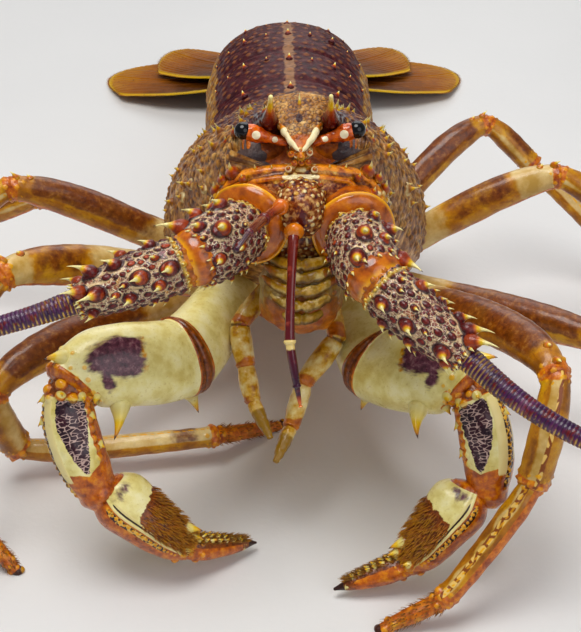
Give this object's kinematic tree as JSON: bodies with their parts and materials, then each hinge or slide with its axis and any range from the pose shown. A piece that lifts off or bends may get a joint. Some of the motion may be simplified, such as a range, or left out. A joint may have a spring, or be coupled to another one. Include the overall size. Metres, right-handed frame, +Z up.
{
  "type": "spiny lobster",
  "caption": "Life-size spiny lobster standing on its legs and tail fan, with spiny antennae swept out to the sides, long whips, and the first pair of legs curled in front.",
  "frame": {"origin": "middle of the footprint's box, at floor level", "axes": "+Z up, the animal faces -Y, its left side is +X"},
  "size_m": [0.7962, 0.4578, 0.139],
  "materials": {
    "shell": "mottled brown shell with a low sheen and pale spine tips",
    "antenna": "glossy lilac and dark red shell, netted with pale lines, with yellow spine tips",
    "flagellum": "violet whip with fine pale rings, low gloss",
    "joint": "smooth orange joint membrane, glossy",
    "belly": "cream shell with brown bands, low gloss",
    "leg": "brown, cream and orange shell, low gloss",
    "claw": "pale green cream shell with purple netting and orange edges, glossy",
    "abdomen": "dark maroon and tan shell, low gloss",
    "fan": "amber and ochre tail plates, darker at the root, semi-gloss",
    "eye": "black and very glossy"
  },
  "bodies": {
    "root": {"abdomen_1": "abdomen", "abdomen_2": "abdomen", "abdomen_3": "abdomen", "abdomen_4": "abdomen", "abdomen_5": "abdomen", "abdomen_6": "abdomen", "antenna_arm_left": "antenna", "antenna_arm_right": "antenna", "antenna_cup_left": "joint", "antenna_cup_right": "joint", "antenna_wrist_left": "antenna", "antenna_wrist_right": "antenna", "antennule_left": "antenna", "antennule_right": "antenna", "carapace": "shell", "chest": "belly", "eye_left": "eye", "eye_right": "eye", "eyestalk_left": "joint", "eyestalk_right": "joint", "flagellum_far_left": "flagellum", "flagellum_far_right": "flagellum", "flagellum_near_left": "flagellum", "flagellum_near_right": "flagellum", "head": "shell", "leg1_carpus_left": "claw", "leg1_carpus_right": "claw", "leg1_dactyl_left": "claw", "leg1_dactyl_right": "claw", "leg1_ischium_left": "claw", "leg1_ischium_right": "claw", "leg1_merus_left": "claw", "leg1_merus_right": "claw", "leg1_propodus_left": "claw", "leg1_propodus_right": "claw", "leg2_left_lower": "leg", "leg2_left_upper": "leg", "leg2_right_lower": "leg", "leg2_right_upper": "leg", "leg3_left_lower": "leg", "leg3_left_upper": "leg", "leg3_right_lower": "leg", "leg3_right_upper": "leg", "leg4_left_lower": "leg", "leg4_left_upper": "leg", "leg4_right_lower": "leg", "leg4_right_upper": "leg", "leg5_left_lower": "leg", "leg5_left_upper": "leg", "leg5_right_lower": "leg", "leg5_right_upper": "leg", "maxilliped_left": "belly", "maxilliped_right": "belly", "mouth": "belly", "tail_fan_inner_left": "fan", "tail_fan_inner_right": "fan", "tail_fan_outer_left": "fan", "tail_fan_outer_right": "fan", "telson": "fan"}
  },
  "joints": []
}
